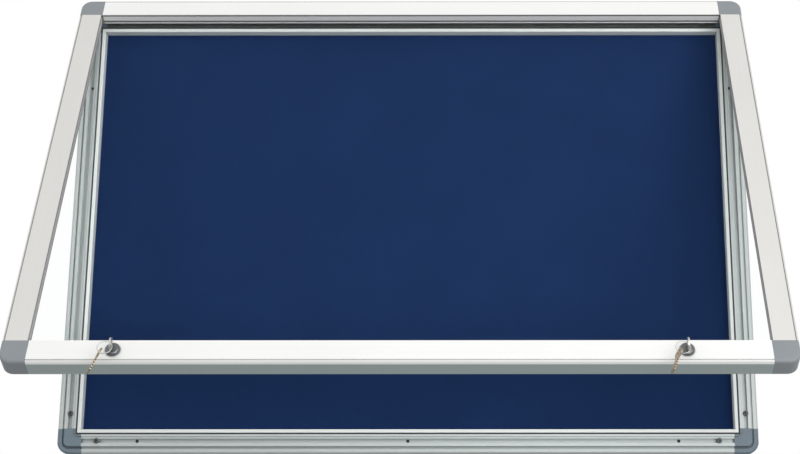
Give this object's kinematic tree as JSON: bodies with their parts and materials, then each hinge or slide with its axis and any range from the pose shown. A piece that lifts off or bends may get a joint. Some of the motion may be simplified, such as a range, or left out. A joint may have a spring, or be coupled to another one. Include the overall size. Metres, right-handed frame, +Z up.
{
  "type": "lockable notice board",
  "caption": "Wall notice board: aluminium frame round a textile pin board, with a top-hung glazed door that lifts up and locks with keys.",
  "frame": {"origin": "middle of the back plane that lies against the wall", "axes": "+X to the right along the board, +Y into the wall, +Z up; the front faces -Y"},
  "size_m": [1, 0.3551, 0.684],
  "materials": {
    "body_aluminium": "satin anodised",
    "door_aluminium": "satin anodised",
    "body_corner_plastic": "fine moulded grain",
    "door_corner_plastic": "fine moulded grain",
    "steel": "bright zinc",
    "back_sheet_steel": "plain galvanised",
    "fibre_core": "soft fibreboard",
    "blue_textile": "short needle felt",
    "seal_rubber": "soft",
    "clear_pane": "clear",
    "lock_chrome": "polished",
    "key_nickel": "nickel plated",
    "key_brass": "worn brass"
  },
  "bodies": {
    "wall_frame": {"body_rail_bottom": "body_aluminium", "body_rail_top": "body_aluminium", "body_rail_left": "body_aluminium", "body_rail_right": "body_aluminium", "board_bead_bottom": "body_aluminium", "board_bead_top": "body_aluminium", "board_bead_left": "body_aluminium", "board_bead_right": "body_aluminium", "body_screws_bottom": "steel", "body_screws_top": "steel", "body_screws_left": "steel", "body_screws_right": "steel", "body_corner_bottom_left": "body_corner_plastic", "body_corner_bottom_right": "body_corner_plastic", "body_corner_top_left": "body_corner_plastic", "body_corner_top_right": "body_corner_plastic", "back_sheet": "back_sheet_steel", "pin_core": "fibre_core", "pin_textile": "blue_textile", "body_seal": "seal_rubber", "hinge_stops": "steel"},
    "door": {"door_rail_bottom": "door_aluminium", "door_rail_top": "door_aluminium", "door_rail_left": "door_aluminium", "door_rail_right": "door_aluminium", "door_corner_bottom_left": "door_corner_plastic", "door_corner_bottom_right": "door_corner_plastic", "door_corner_top_left": "door_corner_plastic", "door_corner_top_right": "door_corner_plastic", "door_pane": "clear_pane", "pane_gasket": "seal_rubber", "lock_housing_left": "lock_chrome", "lock_housing_right": "lock_chrome", "lock_nut_left": "steel", "lock_nut_right": "steel"},
    "plug_left": {"lock_plug_left": "key_nickel", "locking_bar_left": "steel"},
    "key_left": {"lock_key_left": "key_nickel", "key_ring_left": "key_nickel"},
    "spare_left": {"spare_key_left": "key_brass"},
    "plug_right": {"lock_plug_right": "key_nickel", "locking_bar_right": "steel"},
    "key_right": {"lock_key_right": "key_nickel", "key_ring_right": "key_nickel"},
    "spare_right": {"spare_key_right": "key_brass"}
  },
  "joints": [
    {"name": "door_hinge", "type": "hinge", "parent": "wall_frame", "child": "door", "pos_m": [0, -0.0217, 0.3332], "axis": [-1, 0, 0], "range_deg": [-25.5, 60]},
    {"name": "lock_turn_left", "type": "hinge", "parent": "door", "child": "plug_left", "pos_m": [-0.358, -0.32553, -0.24503], "axis": [0, 0.9026, -0.4305], "range_deg": [0, 90]},
    {"name": "key_pull_left", "type": "slide", "parent": "plug_left", "child": "key_left", "axis": [0, -0.9026, 0.4305], "range_m": [0, 0.023]},
    {"name": "spare_swing_left", "type": "hinge", "parent": "key_left", "child": "spare_left", "pos_m": [-0.37049, -0.34417, -0.25123], "axis": [0, 0.9026, -0.4305], "range_deg": [-20, 35]},
    {"name": "lock_turn_right", "type": "hinge", "parent": "door", "child": "plug_right", "pos_m": [0.358, -0.32553, -0.24503], "axis": [0, 0.9026, -0.4305], "range_deg": [0, 90]},
    {"name": "key_pull_right", "type": "slide", "parent": "plug_right", "child": "key_right", "axis": [0, -0.9026, 0.4305], "range_m": [0, 0.023]},
    {"name": "spare_swing_right", "type": "hinge", "parent": "key_right", "child": "spare_right", "pos_m": [0.34551, -0.34417, -0.25123], "axis": [0, 0.9026, -0.4305], "range_deg": [-20, 35]}
  ]
}
